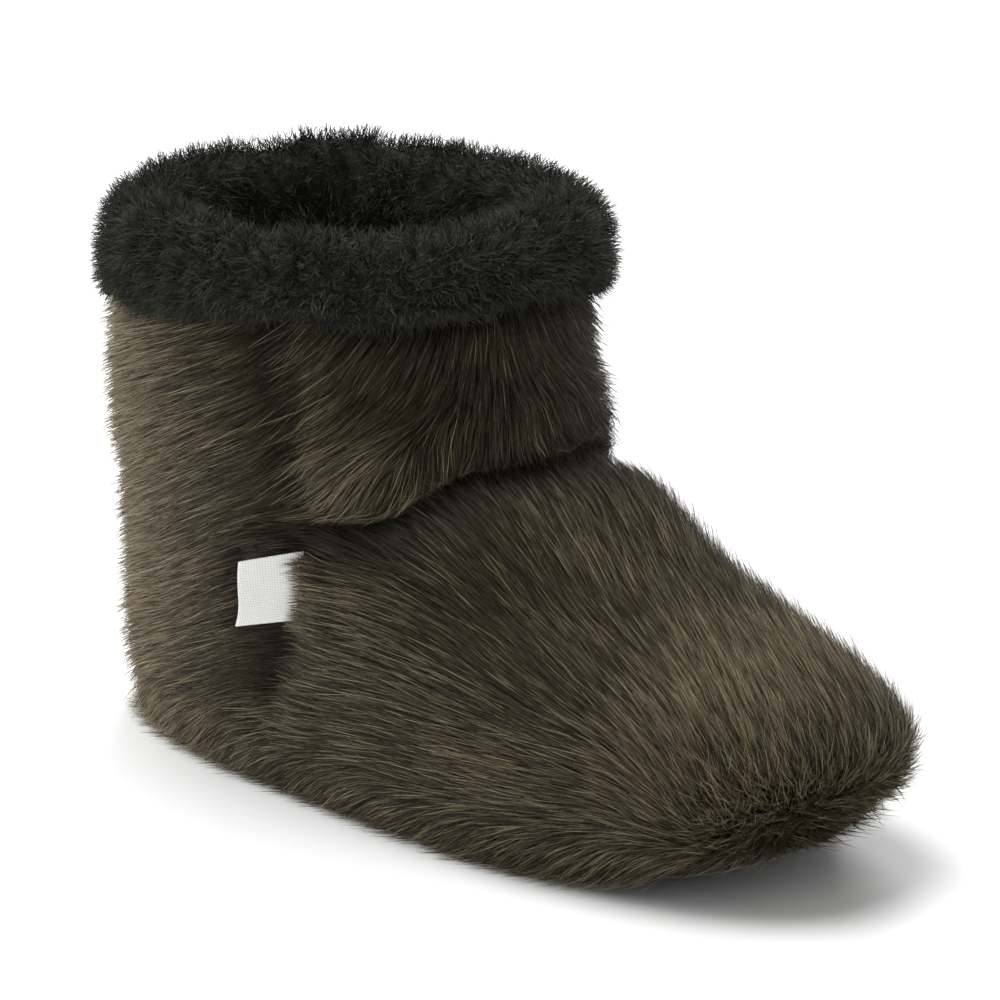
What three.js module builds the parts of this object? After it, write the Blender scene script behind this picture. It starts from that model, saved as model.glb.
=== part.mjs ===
// An ankle-high fur slipper for the right foot, standing empty on its suede sole.
// Millimetres, +Z up, +X from heel to toe, -Y the outer side of the foot.
// The fur upper is one hollow wall, open below where the outsole closes it and open at the
// collar, where a rolled wool cuff hangs over its rim. Locks of fur are fused onto the wall.
import * as THREE from 'three';

// Driving dimensions
const LENGTH = 276; // heel fur to toe fur
const MIDDLE_X = 135.8; // half-way between the tips of the fur at heel and toe
const FUR_WALL = 9; // hide with its dense underfur
const HIDE_WALL = 3.5; // what is left of the wall under the cuff
const SOLE_THICK = 8;
const INSOLE_THICK = 5;
const RIM_Z = 148; // top edge of the fur wall
const CUFF_EDGE_Z = 133; // mean lower edge of the cuff's outer leaf
const FIT_GAP = 0.35; // between pieces that meet
const FUR_OVERHANG = 6; // fur past the edge of the outsole
const WALL_FOOT_Z = SOLE_THICK + FIT_GAP;

// Levels of the last, as the dense fur stands on it: where the heel and toe come to,
// half the width at heel and ball, and the powers that square the outline and its toe.
const LEVELS = table(['z', 'heel', 'toe', 'heelHalf', 'ballHalf', 'power', 'toePower'], [
  [8, 5.5, 259, 50, 53.5, 0.83, 0.71],
  [14, 3.4, 266, 51.6, 56, 0.84, 0.72],
  [21, 2.3, 271, 52.2, 57.2, 0.85, 0.74],
  [28, 1.8, 273.5, 52.6, 57.5, 0.86, 0.76],
  [35, 1.6, 272.5, 52.8, 57, 0.87, 0.78],
  [42, 1.8, 267, 53, 56.2, 0.88, 0.8],
  [49, 2.2, 257.5, 53.5, 55.2, 0.88, 0.83],
  [56, 2.8, 245, 54, 54.2, 0.89, 0.86],
  [64, 3.6, 229, 55, 53, 0.9, 0.88],
  [72, 4.6, 212.5, 56, 52.5, 0.91, 0.9],
  [80, 5.6, 196, 57.5, 53, 0.92, 0.92],
  [88, 6.6, 179, 59, 55, 0.93, 0.93],
  [96, 7.7, 163.5, 60, 58, 0.94, 0.94],
  [104, 8.8, 154.5, 61, 60.5, 0.95, 0.95],
  [112, 9.8, 151, 61.7, 61.7, 0.95, 0.95],
  [120, 10.7, 149.5, 62, 62, 0.95, 0.95],
  [148, 13, 150, 62, 62, 0.95, 0.95],
]);

// Where the side seam between the front and the back panel runs, on both sides.
const SEAM = table(['z', 'x'], [
  [8, 94],
  [33, 101],
  [55, 112],
  [75, 115],
  [84, 119],
  [103, 116],
  [120, 116],
  [148, 108],
]);
const SEAM_DEPTH = 3;
const SEAM_SPREAD = 5;

// Parts of the outline, by the cosine of its angle: heel width passes into ball width about the
// middle, and the outline takes on the toe's own power in front.
const BALL_BLEND = 0.55;
const TOE_BLEND = { from: 0.2, to: 0.7 };

// Toe: spring of the sole, and swing of the tip towards the inner side.
const TOE_SPRING = 13;
const SPRING_START = 190;
const SPRING_END = 270;
const SPRING_POWER = 1.8;
const SPRING_FADE_Z = 90;
const TOE_SWING = 1.5;
const SWING_START = 150;

// Waist of the foot under the instep, and the arch below it.
const WAIST_X = 118;
const WAIST_SPREAD = 42;
const WAIST_INNER = 6;
const WAIST_OUTER = 1.5;
const WAIST_FADE = { from: 15, to: 60 }; // heights between which the waist fills out
const ARCH_LIFT = 2.5;
const ARCH_REACH = 42;

// Ankle crease: level over the instep, falling to the seam on each side.
const CREASE_Z = 100;
const CREASE_DROP = 15;
const CREASE_DEPTH = 4.5;
const CREASE_SPREAD = 5.5;
const CREASE_BLEND_DOWN = 26;
const CREASE_BLEND_UP = 9;

// Lower edge of the cuff.
const EDGE_FRONT_RISE = 6;
const EDGE_OUTER_RISE = 4;
const EDGE_WAVE = 1.3;
const EDGE_BLEND = 16;

// Mesh of the wall. Along a half outline, u is 0 at the toe, 1 at the seam and 2 at the heel.
const FRONT_STEPS = 15;
const BACK_STEPS = 11;
const SEAM_STEP = 0.035;
const OUTER_ROWS = [
  WALL_FOOT_Z, 11, 15, 20, 26, 33, 40, 46, 52, 58, 64, 70, 76, 82, 88, 94, 100, 106, 112, 119, 126,
  CUFF_EDGE_Z - 0.9,
];
const INNER_ROWS = [136, 124, 112, 101, 90, 79, 68, 57, 46, 35, 25, 16];

function table(columns, rows) {
  return rows.map((row) => Object.fromEntries(columns.map((name, k) => [name, row[k]])));
}

// A table's columns at a height, along smooth curves through its rows.
function readTable(rows, z) {
  const height = THREE.MathUtils.clamp(z, rows[0].z, rows.at(-1).z);
  const k = Math.max(1, rows.findIndex((row) => row.z >= height));
  const [low, high] = [rows[k - 1], rows[k]];
  const [before, after] = [rows[Math.max(0, k - 2)], rows[Math.min(rows.length - 1, k + 1)]];
  const span = high.z - low.z;
  const t = (height - low.z) / span;
  const read = (name) => {
    const slopeLow = ((high[name] - before[name]) / (high.z - before.z)) * span;
    const slopeHigh = ((after[name] - low[name]) / (after.z - low.z)) * span;
    return (2 * t ** 3 - 3 * t ** 2 + 1) * low[name] + (t ** 3 - 2 * t ** 2 + t) * slopeLow
      + (3 * t ** 2 - 2 * t ** 3) * high[name] + (t ** 3 - t ** 2) * slopeHigh;
  };
  return Object.fromEntries(Object.keys(low).map((name) => [name, read(name)]));
}

const { clamp, lerp, smoothstep } = THREE.MathUtils;
const bell = (t) => Math.exp(-t * t);
const signedPower = (value, power) => Math.sign(value) * Math.abs(value) ** power;

// A repeatable number from 0 to 1 for a place in the mesh.
function scatter(i, j) {
  const value = Math.sin(i * 12.9898 + j * 78.233) * 43758.5453;
  return value - Math.floor(value);
}

function springAt(x) {
  return TOE_SPRING * clamp((x - SPRING_START) / (SPRING_END - SPRING_START), 0, 1) ** SPRING_POWER;
}

// A point raised with the toe spring, which fades towards the instep, and set about the origin.
function place(x, y, z) {
  const fade = clamp(1 - z / SPRING_FADE_Z, 0, 1);
  return new THREE.Vector3(x - MIDDLE_X, y, z + springAt(x) * fade);
}

// The angle at which a level's outline reaches a given x.
function angleAtX(level, x) {
  const half = (level.toe - level.heel) / 2;
  const along = clamp((x - (level.toe + level.heel) / 2) / half, -1, 1);
  return Math.acos(signedPower(along, 1 / level.power));
}

// The outline's point at a height and an angle, counted from the toe towards the inner side.
function outline(z, angle) {
  const level = readTable(LEVELS, z);
  const c = Math.cos(angle);
  const s = Math.sin(angle);
  const half = (level.toe - level.heel) / 2;
  const power = lerp(level.power, level.toePower, smoothstep(c, TOE_BLEND.from, TOE_BLEND.to));
  const x = (level.toe + level.heel) / 2 + half * signedPower(c, power);
  const width = lerp(level.heelHalf, level.ballHalf, smoothstep(c, -BALL_BLEND, BALL_BLEND));
  const waist = (s > 0 ? WAIST_INNER : WAIST_OUTER) * bell((x - WAIST_X) / WAIST_SPREAD);
  const tuck = waist * (1 - smoothstep(z, WAIST_FADE.from, WAIST_FADE.to));
  const swing = TOE_SWING * smoothstep(x, SWING_START, LENGTH);
  return place(x, (width - tuck) * signedPower(s, power) + swing, z);
}

// The outward normal of the last there, and the same normal laid level.
const ANGLE_STEP = 0.02;
const HEIGHT_STEP = 0.5;

function alongOutline(z, angle) {
  return outline(z, angle + ANGLE_STEP).sub(outline(z, angle - ANGLE_STEP));
}

function outwardNormal(z, angle) {
  const up = outline(z + HEIGHT_STEP, angle).sub(outline(z - HEIGHT_STEP, angle));
  return alongOutline(z, angle).cross(up).normalize();
}

function levelNormal(z, angle) {
  const around = alongOutline(z, angle);
  return new THREE.Vector3(around.y, -around.x, 0).normalize();
}

function steps(from, to, count) {
  return Array.from({ length: count + 1 }, (_, k) => lerp(from, to, k / count));
}

// Columns of the mesh: toe to heel along the inner side, then back along the outer side.
const HALF_COLUMNS = [
  ...steps(0, 1 - SEAM_STEP, FRONT_STEPS),
  1,
  ...steps(1 + SEAM_STEP, 2, BACK_STEPS),
];
const COLUMNS = [
  ...HALF_COLUMNS.map((u) => ({ u, side: 1 })),
  ...HALF_COLUMNS.slice(1, -1).reverse().map((u) => ({ u, side: -1 })),
];

function columnAngle(z, { u, side }) {
  const seam = angleAtX(readTable(LEVELS, z), readTable(SEAM, z).x);
  return side * (u <= 1 ? u * seam : lerp(seam, Math.PI, u - 1));
}

function creaseHeight(u) {
  return CREASE_Z - CREASE_DROP * smoothstep(u, 0.3, 0.95) * (1 - smoothstep(u, 1.05, 1.5));
}

// Height of the cuff's lower edge: higher in front and on the outer side, and a little wavy.
function cuffEdge({ u, side }) {
  const turn = (side * u * Math.PI) / 2;
  const slant = EDGE_FRONT_RISE * Math.cos(turn) - EDGE_OUTER_RISE * Math.sin(turn);
  return CUFF_EDGE_Z + slant + EDGE_WAVE * (Math.sin(3 * turn + 0.6) + 0.6 * Math.sin(5 * turn + 2));
}

// A row's height in a column: rows run along the crease and along the cuff's wavy edge.
function rowHeight(z, column) {
  const blend = z > CREASE_Z ? CREASE_BLEND_UP : CREASE_BLEND_DOWN;
  const toCrease = (creaseHeight(column.u) - CREASE_Z) * bell((z - CREASE_Z) / blend);
  const toCuff = (cuffEdge(column) - CUFF_EDGE_Z) * bell((z - CUFF_EDGE_Z) / EDGE_BLEND);
  return z + toCrease + toCuff;
}

// How far the seam and the crease draw the fur in.
function relief(z, { u }) {
  const offSeam = (u - 1) * readTable(LEVELS, z).toe * 0.6;
  const seam = SEAM_DEPTH * bell(offSeam / SEAM_SPREAD) * smoothstep(z, 8, 20);
  const alongCrease = 1 - smoothstep(u, 0.9, 1.2);
  const crease = CREASE_DEPTH * bell((z - creaseHeight(u)) / CREASE_SPREAD) * alongCrease;
  return -Math.max(seam, crease);
}

function furPoint(z, column, inset = 0) {
  const height = rowHeight(z, column);
  const angle = columnAngle(height, column);
  const depth = relief(height, column) * (inset ? 0 : 1) - inset;
  return outline(height, angle).addScaledVector(outwardNormal(height, angle), depth);
}

// A point set in from the outline without leaving its height.
function levelPoint(z, column, inset, height = z) {
  const angle = columnAngle(z, column);
  const point = outline(z, angle).addScaledVector(levelNormal(z, angle), -inset);
  point.z += height - z;
  return point;
}

// Closed ring of rings: each ring has a point per column, and the last ring meets the first.
// locks(i, j, corners) may name a lock that grows from the cell between rings i and i + 1.
function ringSolid(rings, locks = () => null) {
  const points = rings.flat();
  const count = COLUMNS.length;
  const faces = [];
  for (let i = 0; i < rings.length; i += 1) {
    const above = (i + 1) % rings.length;
    for (let j = 0; j < count; j += 1) {
      const next = (j + 1) % count;
      const cell = [i * count + j, i * count + next, above * count + next, above * count + j];
      const lock = locks(i, j, cell.map((k) => points[k]));
      if (lock) faces.push(...growLock(points, cell, lock));
      else faces.push([cell[0], cell[1], cell[2]], [cell[0], cell[2], cell[3]]);
    }
  }
  return solid(points, faces);
}

// A pointed lock on a cell: a waist part of the way along it, then the tip.
function growLock(points, cell, { centre, tip }) {
  const reach = tip.clone().sub(centre);
  const waist = cell.map((k) => {
    points.push(points[k].clone().lerp(centre, 0.3).addScaledVector(reach, 0.42));
    return points.length - 1;
  });
  points.push(tip);
  const end = points.length - 1;
  return cell.flatMap((corner, k) => {
    const next = (k + 1) % cell.length;
    return [
      [corner, cell[next], waist[next]],
      [corner, waist[next], waist[k]],
      [waist[k], waist[next], end],
    ];
  });
}

function solid(points, faces) {
  const geometry = new THREE.BufferGeometry();
  const coordinates = points.flatMap((point) => point.toArray());
  geometry.setAttribute('position', new THREE.Float32BufferAttribute(coordinates, 3));
  geometry.setIndex(faces.flat());
  geometry.computeVertexNormals();
  return geometry;
}

function middle(corners) {
  const sum = corners.reduce((total, corner) => total.add(corner), new THREE.Vector3());
  return sum.divideScalar(corners.length);
}

// Locks of the upper. The fur lies back from the toe, falls on the shaft and hangs at the hem.
const LOCK_HEIGHT = 3.4;
const LOCK_REACH = 10;
const LOCK_FIRST_ROW = 2;
const LOCK_LAST_ROW = 19;
const HEM_DROP = 7;
const HEM_SPREAD = 2.5;
const CREASE_CLEAR = 9;
const SEAM_CLEAR = 0.07;

// The tab sewn into the outer seam: its middle height, its size and how its rear edge stands off.
const LABEL = { z: 61.5, width: 16.5, height: 20.5, thick: 1.2, tilt: 4.5, standOff: 5 };
const LABEL_CLEAR = { rear: 30, front: 12, height: 20 };

function underLabel(centre) {
  const beforeSeam = readTable(SEAM, centre.z).x - (centre.x + MIDDLE_X);
  const alongX = beforeSeam < LABEL_CLEAR.rear && beforeSeam > -LABEL_CLEAR.front;
  return centre.y < 0 && alongX && Math.abs(centre.z - LABEL.z) < LABEL_CLEAR.height;
}

// How steeply the fur falls: 0 straight back, a right angle straight down.
function fallAngle(z, u) {
  const crease = creaseHeight(u);
  const onShaft = Math.max(smoothstep(z, crease - 6, crease + 6), smoothstep(u, 0.95, 1.05));
  const shaftFall = lerp(0.9, 0.45, smoothstep(u, 1, 1.4));
  return lerp(onShaft * shaftFall, 1.1, 1 - smoothstep(z, 12, 32));
}

function furLock(i, j, corners) {
  if (i >= OUTER_ROWS.length - 1) return null;
  const column = COLUMNS[j];
  const centre = middle(corners);
  const along = corners[1].clone().sub(corners[0]).add(corners[2]).sub(corners[3]).normalize();
  const up = corners[3].clone().sub(corners[0]).add(corners[2]).sub(corners[1]).normalize();
  const normal = along.clone().cross(up).normalize();
  if (i === 0) {
    if (j % 2) return null;
    const tip = centre.clone().addScaledVector(normal.setZ(0).normalize(), HEM_SPREAD);
    tip.z -= HEM_DROP * (0.75 + 0.25 * scatter(i, j));
    return { centre, tip };
  }
  const staggered = (j + 2 * i) % 5 === 0 && i >= LOCK_FIRST_ROW && i <= LOCK_LAST_ROW;
  const offCrease = Math.abs(centre.z - creaseHeight(column.u)) > CREASE_CLEAR || column.u > 1.2;
  const offSeam = Math.abs(column.u - 1) > SEAM_CLEAR;
  if (!staggered || !offCrease || !offSeam || underLabel(centre)) return null;
  const back = along.multiplyScalar(column.side);
  const fall = fallAngle(centre.z, column.u);
  const flow = back.multiplyScalar(Math.cos(fall)).addScaledVector(up, -Math.sin(fall));
  const size = 0.8 + 0.4 * scatter(i, j);
  const onToe = 1 - smoothstep(column.u, 0.05, 0.3);
  const tip = centre.clone().addScaledVector(flow, LOCK_REACH * size * (1 - 0.5 * onToe));
  return { centre, tip: tip.addScaledVector(normal, LOCK_HEIGHT * size * (1 + 0.3 * onToe)) };
}

function upperGeometry() {
  const step = FUR_WALL - HIDE_WALL;
  const outer = OUTER_ROWS.map((z) => COLUMNS.map((column) => furPoint(z, column)));
  const underCuff = [0, 0.5].map((rise) => COLUMNS.map((column) => (
    levelPoint(lerp(cuffEdge(column), RIM_Z, rise), column, step)
  )));
  const rim = [step, FUR_WALL].map((inset) => COLUMNS.map((column) => levelPoint(RIM_Z, column, inset)));
  const inner = INNER_ROWS.map((z) => COLUMNS.map((column) => furPoint(z, column, FUR_WALL)));
  const foot = COLUMNS.map((column) => levelPoint(WALL_FOOT_Z, column, FUR_WALL));
  return ringSolid([...outer, ...underCuff, ...rim, ...inner, foot], furLock);
}

// The cuff's section. out is measured from the dense fur's face and rise from the wall's rim, or
// from the cuff's edge where edge is 1. lumps says how uneven the wool is there, and pad how much
// of the thicker wool in front a station takes.
const WALL_FACE = FIT_GAP - (FUR_WALL - HIDE_WALL);
const LINING_FACE = -FUR_WALL - FIT_GAP;
const CUFF_SECTION = table(['out', 'rise', 'edge', 'lumps', 'pad'], [
  [3.2, 1.4, 1, 0, 0],
  [5.4, 3, 0.8, 0.6, 0],
  [6, 3, 0.5, 1, 0],
  [5.8, 3, 0.22, 1, 0],
  [4.8, 3.4, 0, 1, 0],
  [2, 9, 0, 1, 0.1],
  [-2.6, 13.2, 0, 1, 0.4],
  [-8, 14.8, 0, 1, 0.7],
  [-13.4, 13.2, 0, 1, 1],
  [-18, 9, 0, 1, 1],
  [-20.6, 3, 0, 1, 1],
  [-21.4, -6, 0, 1, 1],
  [-21, -15, 0, 1, 0.8],
  [-19, -23, 0, 0.6, 0.6],
  [-16, -28, 0, 0, 0.3],
  [-12, -30, 0, 0, 0],
  [LINING_FACE, -28, 0, 0, 0],
  [LINING_FACE, -14, 0, 0, 0],
  [LINING_FACE, FIT_GAP, 0, 0, 0],
  [WALL_FACE, FIT_GAP, 0, 0, 0],
  [WALL_FACE, FIT_GAP, 0.5, 0, 0],
  [WALL_FACE, 0.6, 1, 0, 0],
  [-1, 0.5, 1, 0, 0],
]);
const FRONT_PAD = 7;
const WOOL_LUMP = 0.9;
const TUFT_HEIGHT = 3;
const TUFT_STATIONS = [1, 12];

function cuffPoint({ out, rise, edge, lumps, pad }, station, column, j) {
  const height = lerp(RIM_Z, cuffEdge(column), edge) + rise;
  const lump = lumps * WOOL_LUMP * (2 * scatter(station, j) - 1);
  const thicker = pad * FRONT_PAD * (1 - smoothstep(column.u, 0.2, 1.2));
  const start = Math.min(height, RIM_Z);
  return levelPoint(start, column, thicker - out - lump, height + 0.5 * lump);
}

function woolTuft(i, j, corners) {
  const onWool = i >= TUFT_STATIONS[0] && i < TUFT_STATIONS[1];
  if (!onWool || (j + 2 * i) % 7 !== 0) return null;
  const centre = middle(corners);
  const diagonal = corners[2].clone().sub(corners[0]);
  const normal = diagonal.cross(corners[3].clone().sub(corners[1])).normalize();
  const lean = new THREE.Vector3(scatter(i, j) - 0.5, scatter(j, i) - 0.5, 0);
  const tip = centre.clone().addScaledVector(normal.add(lean), TUFT_HEIGHT);
  return { centre, tip };
}

function cuffGeometry() {
  const rings = CUFF_SECTION.map((row, station) => (
    COLUMNS.map((column, j) => cuffPoint(row, station, column, j))
  ));
  return ringSolid(rings, woolTuft);
}

// A plate from rings that rise around its edge, closed across by a top and a bottom.
// shape(point) may move the points that lie between the two sides.
function plateSolid(rings, across, shape) {
  const points = rings.flat();
  const count = COLUMNS.length;
  const faces = [];
  for (let i = 0; i + 1 < rings.length; i += 1) {
    for (let j = 0; j < count; j += 1) {
      const next = (j + 1) % count;
      const [low, high] = [i * count, (i + 1) * count];
      faces.push([low + j, low + next, high + next], [low + j, high + next, high + j]);
    }
  }
  const closeAcross = (first, up) => {
    const stations = Array.from({ length: count / 2 - 1 }, (_, k) => {
      const [outer, inner] = [first + count - 1 - k, first + 1 + k];
      const between = steps(0, 1, across).slice(1, -1).map((t) => {
        points.push(shape(points[outer].clone().lerp(points[inner], t)));
        return points.length - 1;
      });
      return [outer, ...between, inner];
    });
    const add = (...face) => faces.push(up ? face : face.reverse());
    for (let w = 0; w < across; w += 1) {
      add(first, stations[0][w + 1], stations[0][w]);
      add(stations.at(-1)[w], stations.at(-1)[w + 1], first + count / 2);
      for (let k = 0; k + 1 < stations.length; k += 1) {
        const [near, far] = [stations[k], stations[k + 1]];
        add(near[w], near[w + 1], far[w + 1]);
        add(near[w], far[w + 1], far[w]);
      }
    }
  };
  closeAcross(0, false);
  closeAcross((rings.length - 1) * count, true);
  return solid(points, faces);
}

// The arch lifts the inner side of the sole's underside between heel and ball.
function archAt(point) {
  const along = clamp((point.x + MIDDLE_X - WAIST_X) / ARCH_REACH, -1, 1);
  return ARCH_LIFT * (0.5 + 0.5 * Math.cos(along * Math.PI)) * smoothstep(point.y, -5, 40);
}

// The outsole's edge from the ground up: how far each ring is drawn in, and how much arch it takes.
const SOLE_EDGE = table(['z', 'inset', 'arch'], [
  [0, 3.2, 1],
  [0.8, 1.2, 1],
  [2.6, 0.2, 0.6],
  [5.4, 0, 0.2],
  [SOLE_THICK, 0.6, 0],
]);

function outsoleGeometry() {
  const rings = SOLE_EDGE.map(({ z, inset, arch }) => COLUMNS.map((column) => {
    const edge = levelPoint(WALL_FOOT_Z, column, FUR_OVERHANG + inset);
    const point = place(edge.x + MIDDLE_X, edge.y, z);
    point.z += arch * archAt(point);
    return point;
  }));
  const ground = (point) => {
    const low = point.z < SOLE_THICK / 2 + springAt(point.x + MIDDLE_X) / 2;
    return place(point.x + MIDDLE_X, point.y, low ? archAt(point) : SOLE_THICK);
  };
  return plateSolid(rings, 5, ground);
}

const INSOLE_EDGE = table(['rise', 'inset'], [
  [0, 1.2],
  [1.2, 0.4],
  [INSOLE_THICK - 1.2, 0.4],
  [INSOLE_THICK, 1.8],
]);

function insoleGeometry() {
  const rings = INSOLE_EDGE.map(({ rise, inset }) => COLUMNS.map((column) => {
    const edge = levelPoint(WALL_FOOT_Z, column, FUR_WALL + inset);
    return place(edge.x + MIDDLE_X, edge.y, WALL_FOOT_Z + rise);
  }));
  return plateSolid(rings, 3, (point) => point);
}

// The woven tab: held in the outer seam at its front edge, its rear edge standing off the fur.
function labelGeometry() {
  const across = steps(1, 0, 4);
  const heights = steps(-0.5, 0.5, 3);
  const sheet = (lift) => heights.map((rise) => across.map((toRear) => {
    const z = LABEL.z + LABEL.height * rise + LABEL.tilt * (0.5 - toRear);
    const angle = -angleAtX(readTable(LEVELS, z), readTable(SEAM, z).x - LABEL.width * toRear);
    const offset = lerp(FIT_GAP - SEAM_DEPTH, LABEL.standOff, toRear) + lift;
    return outline(z, angle).addScaledVector(outwardNormal(z, angle), offset);
  }));
  const points = [sheet(0), sheet(LABEL.thick)].flat(2);
  const [wide, high] = [across.length, heights.length];
  const at = (layer, row, column) => layer * wide * high + row * wide + column;
  const faces = [];
  const quad = (a, b, c, d) => faces.push([a, b, c], [a, c, d]);
  for (let r = 0; r + 1 < high; r += 1) {
    for (let c = 0; c + 1 < wide; c += 1) {
      quad(at(1, r, c), at(1, r, c + 1), at(1, r + 1, c + 1), at(1, r + 1, c));
      quad(at(0, r, c), at(0, r + 1, c), at(0, r + 1, c + 1), at(0, r, c + 1));
    }
    quad(at(0, r, 0), at(1, r, 0), at(1, r + 1, 0), at(0, r + 1, 0));
    quad(at(1, r, wide - 1), at(0, r, wide - 1), at(0, r + 1, wide - 1), at(1, r + 1, wide - 1));
  }
  for (let c = 0; c + 1 < wide; c += 1) {
    quad(at(0, 0, c), at(0, 0, c + 1), at(1, 0, c + 1), at(1, 0, c));
    quad(at(1, high - 1, c), at(1, high - 1, c + 1), at(0, high - 1, c + 1), at(0, high - 1, c));
  }
  return solid(points, faces);
}

function piece(name, geometry, color, roughness) {
  const material = new THREE.MeshStandardMaterial({ color, roughness, metalness: 0 });
  const mesh = new THREE.Mesh(geometry, material);
  mesh.name = name;
  return mesh;
}

const group = new THREE.Group();
group.add(
  piece('outsole', outsoleGeometry(), 0x33201e, 0.95),
  piece('insole', insoleGeometry(), 0x2c2b28, 0.95),
  piece('upper', upperGeometry(), 0x5a5139, 0.7),
  piece('cuff', cuffGeometry(), 0x2f2e2b, 0.95),
  piece('label', labelGeometry(), 0xe6e4de, 0.8),
);

export default group;
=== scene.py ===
"""Looks of an ankle-high fur slipper with a rolled wool cuff, for the right foot."""
import math

import bpy
import numpy as np
from mathutils import Matrix, Vector
from mathutils.kdtree import KDTree


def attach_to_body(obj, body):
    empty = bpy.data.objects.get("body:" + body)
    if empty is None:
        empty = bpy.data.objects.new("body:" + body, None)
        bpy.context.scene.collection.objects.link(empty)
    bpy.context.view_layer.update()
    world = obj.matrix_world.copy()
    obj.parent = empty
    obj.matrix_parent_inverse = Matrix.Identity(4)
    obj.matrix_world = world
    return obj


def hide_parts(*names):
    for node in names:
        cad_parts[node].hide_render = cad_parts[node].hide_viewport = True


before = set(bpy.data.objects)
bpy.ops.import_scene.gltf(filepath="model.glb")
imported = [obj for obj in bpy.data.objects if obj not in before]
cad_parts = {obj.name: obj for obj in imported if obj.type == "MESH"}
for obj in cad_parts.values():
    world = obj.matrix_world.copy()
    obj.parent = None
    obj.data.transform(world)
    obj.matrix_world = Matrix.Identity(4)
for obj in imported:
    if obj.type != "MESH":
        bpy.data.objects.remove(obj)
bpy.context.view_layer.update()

RNG = np.random.default_rng(41)
MM = 0.001

# The last in millimetres, as in the solids. x runs from the heel and z from the ground.
LENGTH = 276.0
MIDDLE_X = 135.8
FUR_WALL = 9.0
FUR_OVERHANG = 6.0
SOLE_THICK = 8.0
INSOLE_THICK = 5.0
RIM_Z = 148.0
WALL_FOOT_Z = 8.35
# height, heel, toe, half width at the heel and at the ball, roundness of the outline and of its toe
LEVELS = np.array([
    [8, 5.5, 259, 50, 53.5, 0.83, 0.71],
    [14, 3.4, 266, 51.6, 56, 0.84, 0.72],
    [21, 2.3, 271, 52.2, 57.2, 0.85, 0.74],
    [28, 1.8, 273.5, 52.6, 57.5, 0.86, 0.76],
    [35, 1.6, 272.5, 52.8, 57, 0.87, 0.78],
    [42, 1.8, 267, 53, 56.2, 0.88, 0.8],
    [49, 2.2, 257.5, 53.5, 55.2, 0.88, 0.83],
    [56, 2.8, 245, 54, 54.2, 0.89, 0.86],
    [64, 3.6, 229, 55, 53, 0.9, 0.88],
    [72, 4.6, 212.5, 56, 52.5, 0.91, 0.9],
    [80, 5.6, 196, 57.5, 53, 0.92, 0.92],
    [88, 6.6, 179, 59, 55, 0.93, 0.93],
    [96, 7.7, 163.5, 60, 58, 0.94, 0.94],
    [104, 8.8, 154.5, 61, 60.5, 0.95, 0.95],
    [112, 9.8, 151, 61.7, 61.7, 0.95, 0.95],
    [120, 10.7, 149.5, 62, 62, 0.95, 0.95],
    [148, 13, 150, 62, 62, 0.95, 0.95],
])
SEAM = np.array([
    [8, 94], [33, 101], [55, 112], [75, 115], [84, 119], [103, 116], [120, 116], [148, 108],
], float)
BALL_BLEND = 0.55
TOE_BLEND = (0.2, 0.7)
TOE_SPRING = 13.0
SPRING_START = 190.0
SPRING_END = 270.0
SPRING_POWER = 1.8
SPRING_FADE_Z = 90.0
TOE_SWING = 1.5
SWING_START = 150.0
WAIST_X = 118.0
WAIST_SPREAD = 42.0
WAIST_INNER = 6.0
WAIST_OUTER = 1.5
WAIST_FADE = (15.0, 60.0)
ARCH_LIFT = 2.5
ARCH_REACH = 42.0
CREASE_Z = 100.0
CREASE_DROP = 15.0
CUFF_EDGE_Z = 133.0
EDGE_FRONT_RISE = 6.0
EDGE_OUTER_RISE = 4.0
EDGE_WAVE = 1.3


def lerp(a, b, t):
    return a + (b - a) * t


def smoothstep(x, low, high):
    t = np.clip((x - low) / (high - low), 0, 1)
    return t * t * (3 - 2 * t)


def bell(t):
    return np.exp(-t * t)


def signed_power(value, power):
    return np.sign(value) * np.abs(value) ** power


def unit(v):
    return v / np.maximum(np.linalg.norm(v, axis=-1, keepdims=True), 1e-9)


def read_table(rows, z):
    """A table's columns at each height, along smooth curves through its rows."""
    heights = rows[:, 0]
    z = np.clip(z, heights[0], heights[-1])
    k = np.clip(np.searchsorted(heights, z), 1, len(rows) - 1)
    low, high = rows[k - 1], rows[k]
    before, after = rows[np.maximum(k - 2, 0)], rows[np.minimum(k + 1, len(rows) - 1)]
    span = high[..., :1] - low[..., :1]
    t = (z[..., None] - low[..., :1]) / span
    slope_low = (high - before) / (high[..., :1] - before[..., :1]) * span
    slope_high = (after - low) / (after[..., :1] - low[..., :1]) * span
    return ((2 * t**3 - 3 * t**2 + 1) * low + (t**3 - 2 * t**2 + t) * slope_low
            + (3 * t**2 - 2 * t**3) * high + (t**3 - t**2) * slope_high)


def spring_at(x):
    along = np.clip((x - SPRING_START) / (SPRING_END - SPRING_START), 0, 1)
    return TOE_SPRING * along**SPRING_POWER


def placed(x, y, z):
    """A point raised with the toe spring and set about the origin."""
    fade = np.clip(1 - z / SPRING_FADE_Z, 0, 1)
    return np.stack([x - MIDDLE_X, y, z + spring_at(x) * fade], -1)


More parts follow.
